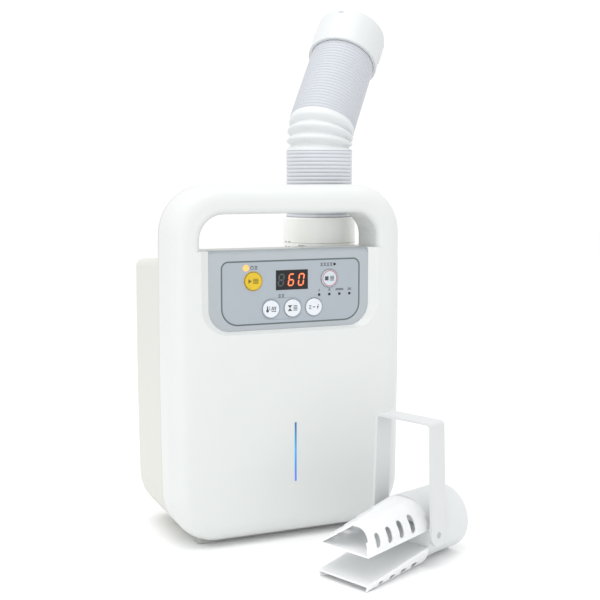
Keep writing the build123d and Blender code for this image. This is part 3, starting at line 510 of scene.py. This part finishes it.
fanned_radii = [HOSE_R - TIGHT_DEPTH * depth for _ in range(FANNED) for _, depth in PLEAT_FORM]
fanned_radii.append(HOSE_R - TIGHT_DEPTH)
SKIRT_PLAY = 0.2
open_tube = bent_tube(0, OPEN_SHARE, open_radii(),
                      skirt_low=HOSE_R - PLEAT_DEPTH - HOSE_WALL - SKIRT_PLAY)
fanned_tube = bent_tube(OPEN_SHARE, 1, fanned_radii,
                        skirt_high=HOSE_R - TIGHT_DEPTH - HOSE_WALL - SKIRT_PLAY)
open_part = piece("hose_open_pleats", *open_tube, HOSE, hose_open_pe, "hose_grey")
fanned_part = piece("hose_fanned_pleats", *fanned_tube, HOSE, tight_pe_painted_shade, "hose_grey")
for part in (open_part, fanned_part):
    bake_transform(part)
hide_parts("hose_bend")

# ---- hose cap: two locking lugs, a rim bead and an index mark ----
CAP_R = 38.2
LUG_FROM, LUG_TO, LUG_HALF_ANGLE = 9, 38, radians(6)
LUG_SUNK, LUG_HEIGHT = 0.3, 1.7
MARK_FROM, MARK_TO, MARK_HALF_ANGLE = 37.0, 41.5, radians(5)


def on_round(place_turn, low, high, half_angle, radius, height):
    """A pad that follows a round wall: a raised strip with rounded edges."""
    points, rows = [], []
    edge, shoulder = min(0.8, (high - low) * 0.15), min(2.2, (high - low) * 0.4)
    form = ((-1.0, -0.3), (-0.86, 0.7), (-0.5, 1.0), (0.5, 1.0), (0.86, 0.7), (1.0, -0.3))
    levels = [(low, -0.3), (low + edge, 0.75), (low + shoulder, 1.0),
              (high - shoulder, 1.0), (high - edge, 0.75), (high, -0.3)]
    for z, lift in levels:
        for share, raise_by in form:
            turn = place_turn + half_angle * share
            out = radius + height * min(lift, raise_by)
            points.append((out * cos(turn), out * sin(turn), z))
    width = len(form)
    for i in range(len(levels) - 1):
        for j in range(width - 1):
            a = i * width + j
            rows.append((a, a + 1, a + width + 1, a + width))
    ring = list(range(width))
    ring += [i * width + width - 1 for i in range(1, len(levels))]
    ring += [(len(levels) - 1) * width + j for j in range(width - 2, -1, -1)]
    ring += [i * width for i in range(len(levels) - 2, 0, -1)]
    rows.append(tuple(reversed(ring)))
    return points, rows


for side, turn in (("right", -163), ("left", 17)):
    lug = on_round(radians(turn), CAP_START + LUG_FROM, CAP_START + LUG_TO, LUG_HALF_ANGLE,
                   CAP_R - LUG_SUNK, LUG_HEIGHT)
    piece(f"cap_lug_{side}", *lug, UPPER, cap_pp_painted_shade, "nozzle_pp", "hose_end")
bead = [(CAP_R - 1.0, CAP_START + 0.2), (CAP_R + 0.15, CAP_START + 0.6),
        (CAP_R + 0.4, CAP_START + 1.3), (CAP_R + 0.15, CAP_START + 2.1),
        (CAP_R - 1.0, CAP_START + 2.4)]
piece("cap_rim_bead", *lathe(bead), UPPER, cap_pp_painted_shade, "nozzle_pp", "hose_end")
mark = on_round(radians(91), CAP_START + MARK_FROM, CAP_START + MARK_TO, MARK_HALF_ANGLE,
                CAP_R - 0.22, 0.5)
piece("cap_index_mark", *mark, UPPER, cap_ink, "nozzle_pp", "hose_end")

# ---- collar: a seam line and two index ticks ----
COLLAR_R = 38.6
COLLAR_SEAM = collar_low.z / MM - 0.3
collar_line = [(COLLAR_R - 1.2, COLLAR_SEAM - 0.05), (COLLAR_R - 0.3, COLLAR_SEAM - 0.05),
               (COLLAR_R - 0.3, COLLAR_SEAM + 0.35), (COLLAR_R - 1.2, COLLAR_SEAM + 0.35)]
piece("collar_seam_gasket", *lathe(collar_line), HOSE, outline_ink, "case_abs", "dryer")
for name, z, body in (("upper", COLLAR_SEAM + 0.6, "hose_base"), ("lower", COLLAR_SEAM - 4.6, "dryer")):
    tick = on_round(radians(-174.5), z, z + 1.1, radians(9), COLLAR_R - 0.12, 0.2)
    piece(f"collar_tick_{name}", *tick, HOSE, mark_ink, "case_abs", body)

# ---- control panel ----
PANEL_Y = 5.5
INK = 0.05  # thickness of printed ink
OVERLAY = (-71.0, 74.0, 220.4, 280.4, 6.0, 16.0)  # left, right, bottom, top and both radii
BUTTON_R = 8.6
BUTTON_Y = 4.3
DISH_R, DISH_BALL, DISH_RIM = 6.9, 60.0, 59.6  # the dish, its ball and how far that stands back
BUTTONS = {}
for name in ("start", "stop", "temperature", "time", "mode"):
    low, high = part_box(f"{name}_button")
    middle = CASE.inverted() @ ((low + high) / 2)
    BUTTONS[name] = (middle.x, middle.z)


def panel_face(x, z):
    """Depth of ink laid on the film."""
    return PANEL_Y - 0.06


def grown(by):
    x0, x1, z0, z1, top_r, low_r = OVERLAY
    return rounded(x0 - by, x1 + by, z0 - by, z1 + by, top_r + by, low_r + by, 16)


outline = frames([(grown(1.58), grown(0.02))], lambda x, z: PANEL_Y + 0.15, 0.5)
piece("panel_outline", *outline, CASE, outline_ink, "overlay_grey", "dryer", smooth=False)


def circles(x, z, outer, inner, steps=64):
    return disc(x, z, outer, steps), disc(x, z, inner, steps)


def dish_face(x0, z0):
    """Depth of a button's dished face, less the ink's thickness."""
    def face(x, z):
        out = min(sqrt((x - x0) ** 2 + (z - z0) ** 2), DISH_R)
        return BUTTON_Y - DISH_RIM + sqrt(DISH_BALL ** 2 - out ** 2) - INK
    return face


RING_OUT, RING_IN = BUTTON_R + 1.15, BUTTON_R + 0.42
for name, (x, z) in BUTTONS.items():
    ink = ochre_ink if name == "start" else pale_ink
    ring = frames([circles(x, z, RING_OUT, RING_IN)], panel_face, INK)
    piece(f"{name}_ring", *ring, CASE, ink, "overlay_grey", "dryer", smooth=False)
x, z = BUTTONS["stop"]
rim = frames([circles(x, z, 7.95, 7.25)], lambda x, z: BUTTON_Y - INK, 0.12)
piece("stop_rim", *rim, CASE, red_ink, "button_white", "stop_button", smooth=False)


def lines(x, z, count, width, step=1.5, thick=0.7):
    """A stack of dashes that stands for a printed word, every second one shorter."""
    return [bar(x, z + step * (i - (count - 1) / 2), width - 0.7 * (i % 2), thick)
            for i in range(count)]


def thermometer(x, z):
    tube, bulb = bar(x, z + 0.7, 1.3, 4.2), disc(x, z - 1.7, 1.5, 16)
    return [tube, bulb] + lines(x + 2.3, z + 0.9, 3, 1.4, 1.3)


def hourglass(x, z):
    return [[(x - 1.9, z + 2.2), (x + 1.9, z + 2.2), (x, z)],
            [(x, z), (x + 1.9, z - 2.2), (x - 1.9, z - 2.2)],
            bar(x, z + 2.5, 4.4, 0.7), bar(x, z - 2.5, 4.4, 0.7)]


def waves(x, z):
    rising = [bar(x - 1.7 + 1.7 * i, z + 0.5, 0.9, 3.6, 0.9) for i in range(3)]
    return rising + [bar(x, z - 2.3, 5.0, 0.7)]


def arrowhead(x, z):
    return [(x - 1.9, z - 2.2), (x + 1.9, z), (x - 1.9, z + 2.2)]


GLYPHS = {
    "start": lambda x, z: [arrowhead(x - 3.5, z)] + lines(x + 2.4, z, 4, 6.0, 1.3),
    "stop": lambda x, z: [bar(x - 3.2, z, 4.0, 4.0)] + lines(x + 2.6, z, 4, 4.8, 1.3),
    "temperature": lambda x, z: thermometer(x - 3.9, z) + waves(x + 2.8, z),
    "time": lambda x, z: hourglass(x - 3.1, z) + lines(x + 2.7, z, 4, 4.6, 1.45),
    "mode": lambda x, z: lines(x - 4.2, z, 3, 2.6) + [
        bar(x, z, 2.8, 0.8), bar(x + 3.8, z - 0.4, 0.8, 3.0),
        bar(x + 4.6, z + 0.1, 1.8, 0.7), disc(x + 4.9, z + 2.0, 0.5, 12)],
}
for name, (x, z) in BUTTONS.items():
    ink = olive_ink if name == "start" else mark_ink
    glyph = plates(GLYPHS[name](x, z), dish_face(x, z), 0.12)
    slot = "button_yellow" if name == "start" else "button_white"
    piece(f"{name}_mark", *glyph, CASE, ink, slot, f"{name}_button", smooth=False)

# Marks printed on the film: a power sign by the lamp, rows of dashes where words would be.
lamp_x, lamp_z = -46.8, 275.0
TOP_ROW, TIME_ROW, LED_ROW = 276.0, 246.4, 250.6
power = frames([circles(lamp_x + 6.2, lamp_z, 1.9, 1.4, 24)], panel_face, INK)
piece("power_ring_mark", *power, CASE, mark_ink, "overlay_grey", "dryer", smooth=False)
words = [bar(lamp_x + 6.2, lamp_z + 1.2, 0.55, 2.2)] + lines(lamp_x + 10.4, lamp_z, 3, 3.0, 1.3)
for i in range(4):
    words += lines(33.4 + 3.5 * i, TOP_ROW, 3, 2.5, 1.2)
words += lines(-11.8, TIME_ROW, 3, 2.6, 1.2) + lines(-8.2, TIME_ROW, 3, 2.6, 1.2)
for i, width in enumerate((1.6, 2.6, 9.0, 4.2)):
    words += lines(30.8 + 11.1 * i, LED_ROW, 2, width, 1.2)
piece("panel_marks", *plates(words, panel_face, INK), CASE, mark_ink, "overlay_grey", "dryer",
      smooth=False)


def bracket(z, way):
    """A thin line that joins the two setting buttons, dropping at each end."""
    left, right = BUTTONS["temperature"][0], BUTTONS["time"][0]
    reach, half = BUTTON_R + 1.9, 0.22
    arcs = []
    for x, start, end in ((left, 150, 92), (right, 88, 30)):
        turns = [radians(start + (end - start) * i / 10) for i in range(11)]
        outer = [(x + (reach + half) * cos(t), z + way * (reach + half) * sin(t))
                 for t in turns]
        inner = [(x + (reach - half) * cos(t), z + way * (reach - half) * sin(t))
                 for t in reversed(turns)]
        arcs.append(outer + inner)
    arcs.append(bar((left + right) / 2, z + way * reach, right - left, 2 * half))
    return arcs


low_row = BUTTONS["time"][1]
brackets = plates(bracket(low_row, 1) + bracket(low_row, -1), panel_face, INK)
piece("panel_brackets", *brackets, CASE, pale_ink, "overlay_grey", "dryer", smooth=False)

# ---- display digits ----
WINDOW_Y = PANEL_Y - 0.2
DIGIT_W, DIGIT_H, STROKE, SLANT = 6.6, 12.6, 1.55, 0.14
SEGMENTS = {
    "top": (0, 1, True), "middle": (0, 0, True), "bottom": (0, -1, True),
    "upper_left": (-1, 0.5, False), "upper_right": (1, 0.5, False),
    "lower_left": (-1, -0.5, False), "lower_right": (1, -0.5, False),
}


def segment(x, z, place, stroke=STROKE):
    """One bar of a digit, pointed at both ends, leaning with the digit."""
    across, up, level = place
    half_w, half_h, t = (DIGIT_W - STROKE) / 2, (DIGIT_H - STROKE) / 2, stroke / 2
    cx, cz = across * half_w, up * half_h
    reach = half_w - 0.25 if level else half_h / 2 - 0.25
    form = [(-reach, 0), (-reach + t, -t), (reach - t, -t),
            (reach, 0), (reach - t, t), (-reach + t, t)]
    if not level:
        form = [(-b, a) for a, b in form]
    return [(x + cx + a + SLANT * (cz + b), z + cz + b) for a, b in form]


window_low, window_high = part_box("display_window")
window = CASE.inverted() @ ((window_low + window_high) / 2)
DIGIT_STEP, CORE_SHARE = 10.7, 0.42
digit_places = [window.x - 0.9 + DIGIT_STEP * i for i in (-1, 0, 1)]
LIT = [(digit_places[1], place) for key, place in SEGMENTS.items() if key != "upper_right"]
LIT += [(digit_places[2], place) for key, place in SEGMENTS.items() if key != "middle"]
lit = [segment(x, window.z, place) for x, place in LIT]
cores = [segment(x, window.z, place, STROKE * CORE_SHARE) for x, place in LIT]
dark = [segment(digit_places[0], window.z, place) for place in SEGMENTS.values()]
piece("display_lit_digits", *plates(lit, lambda x, z: WINDOW_Y - 0.06, 0.1), CASE, lit_red,
      "smoked_acrylic", "dryer", smooth=False)
piece("display_lit_cores", *plates(cores, lambda x, z: WINDOW_Y - 0.1, 0.1), CASE, lit_core,
      "smoked_acrylic", "dryer", smooth=False)
piece("display_dark_digit", *plates(dark, lambda x, z: WINDOW_Y - 0.06, 0.1), CASE, unlit,
      "smoked_acrylic", "dryer", smooth=False)

# ---- parting line round the case ----
def hull(points):
    """The outer outline of points in a plane, counter-clockwise."""
    points = sorted(set(points))

    def half(run):
        chain = []
        for p in run:
            while len(chain) > 1 and ((chain[-1][0] - chain[-2][0]) * (p[1] - chain[-2][1])
                                      <= (chain[-1][1] - chain[-2][1]) * (p[0] - chain[-2][0])):
                chain.pop()
            chain.append(p)
        return chain[:-1]

    return half(points) + half(reversed(points))


into_case = CASE.inverted()
edge = []
for vertex in frame["nodes"]["front_shell"].data.vertices:
    spot = into_case @ vertex.co
    if spot.y > SPLIT_Y - 0.05:
        edge.append((round(spot.x, 3), round(spot.z, 3)))
outline = hull(edge)
seam_points, columns = [], len(outline)
SEAM_HALF, SEAM_IN, SEAM_OUT = 0.28, -0.05, 0.03
for y, out in ((-SEAM_HALF, SEAM_IN), (-SEAM_HALF, SEAM_OUT),
               (SEAM_HALF, SEAM_OUT), (SEAM_HALF, SEAM_IN)):
    for i, (x, z) in enumerate(outline):
        before, after = outline[i - 1], outline[(i + 1) % columns]
        normal = Vector((after[1] - before[1], before[0] - after[0])).normalized()
        seam_points.append((x + out * normal.x, SPLIT_Y + y, z + out * normal.y))
piece("case_parting_line", seam_points, grid_faces(4, columns), CASE, seam_shadow, "rear_abs",
      "dryer")

# ---- stage, light and camera ----
FLOOR = 5.0  # metres from the middle to each edge
WHITE = (1.0, 1.0, 1.0, 1.0)
SKY = 1.03
floor_mesh = bpy.data.meshes.new("floor")
floor_mesh.from_pydata([(-FLOOR, -FLOOR, 0), (FLOOR, -FLOOR, 0), (FLOOR, FLOOR, 0),
                        (-FLOOR, FLOOR, 0)], [], [(0, 1, 2, 3)])
floor = bpy.data.objects.new("floor", floor_mesh)
bpy.context.scene.collection.objects.link(floor)
# Matt white backdrop paper, with a faint tooth.
floor_mesh.materials.append(
    surface("matt_white_paper", "FDFDFD", "FCFCFC", (0.8, 0.9), 300, 2.0, 0.01))

world = bpy.data.worlds.new("studio")
world.use_nodes = True
background = world.node_tree.nodes["Background"]
background.inputs["Color"].default_value = WHITE
background.inputs["Strength"].default_value = SKY
bpy.context.scene.world = world


def softbox(name, place, aim, size, power):
    """A square lamp, size metres wide, that looks from its place to the aim."""
    lamp = bpy.data.lights.new(name, "AREA")
    lamp.size = size
    lamp.energy = power
    made = bpy.data.objects.new(name, lamp)
    made.location = place
    made.rotation_euler = (Vector(aim) - Vector(place)).to_track_quat("-Z", "Y").to_euler()
    bpy.context.scene.collection.objects.link(made)


softbox("overhead", (-0.3, -0.2, 1.9), (0, 0, 0.2), 1.6, 14.0)
softbox("front_fill", (-1.5, -1.8, 0.5), (0, 0, 0.3), 1.0, 4.5)

LENS, SENSOR = 64.8, 36.0
CAMERA_AT = Vector((-408.2, -970.2, 364.3))
CAMERA_DOWN, CAMERA_TURN = 6.6, -23.2  # degrees below level, and to the right of straight on
camera = bpy.data.objects.new("camera", bpy.data.cameras.new("camera"))
camera.data.sensor_width = SENSOR
camera.data.lens = LENS
camera.location = CASE @ CAMERA_AT
camera.rotation_euler = (radians(90 - CAMERA_DOWN), 0, radians(CAMERA_TURN))
bpy.context.scene.collection.objects.link(camera)
bpy.context.scene.camera = camera
bpy.context.scene.view_settings.view_transform = "Standard"
